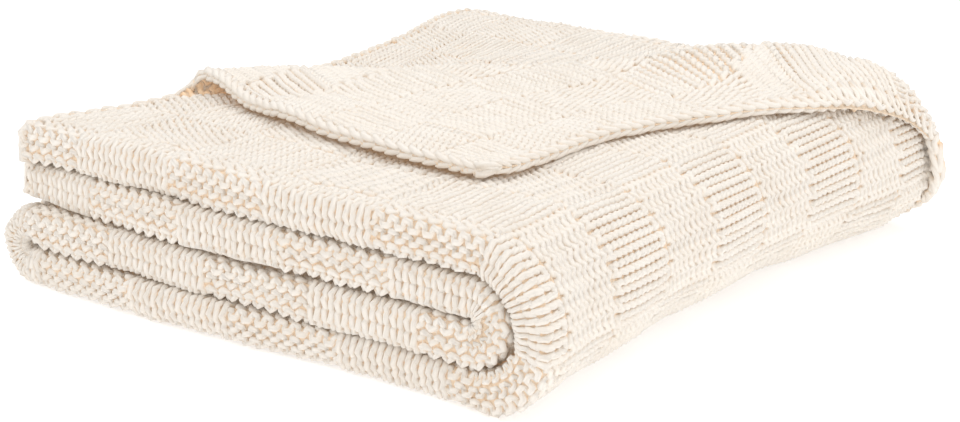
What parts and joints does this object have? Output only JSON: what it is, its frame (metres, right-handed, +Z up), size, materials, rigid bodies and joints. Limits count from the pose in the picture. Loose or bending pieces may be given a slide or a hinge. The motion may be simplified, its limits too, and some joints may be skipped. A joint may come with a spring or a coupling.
{
  "type": "folded cotton throw blanket",
  "caption": "Thick knitted cotton throw with a basketweave of knit and purl blocks, folded into a low pile with one corner turned back.",
  "frame": {"origin": "on the surface the pile rests on, under the middle of its box", "axes": "+Z up through the plies, +X towards the end where the outer layer wraps round the pile, -Y towards the front edges where every layer's folds show"},
  "size_m": [0.4346, 0.4584, 0.1214],
  "materials": {
    "cotton_knit": "matte undyed cotton yarn, chunky knit"
  },
  "bodies": {
    "root": {"throw_blanket": "cotton_knit"}
  },
  "joints": []
}
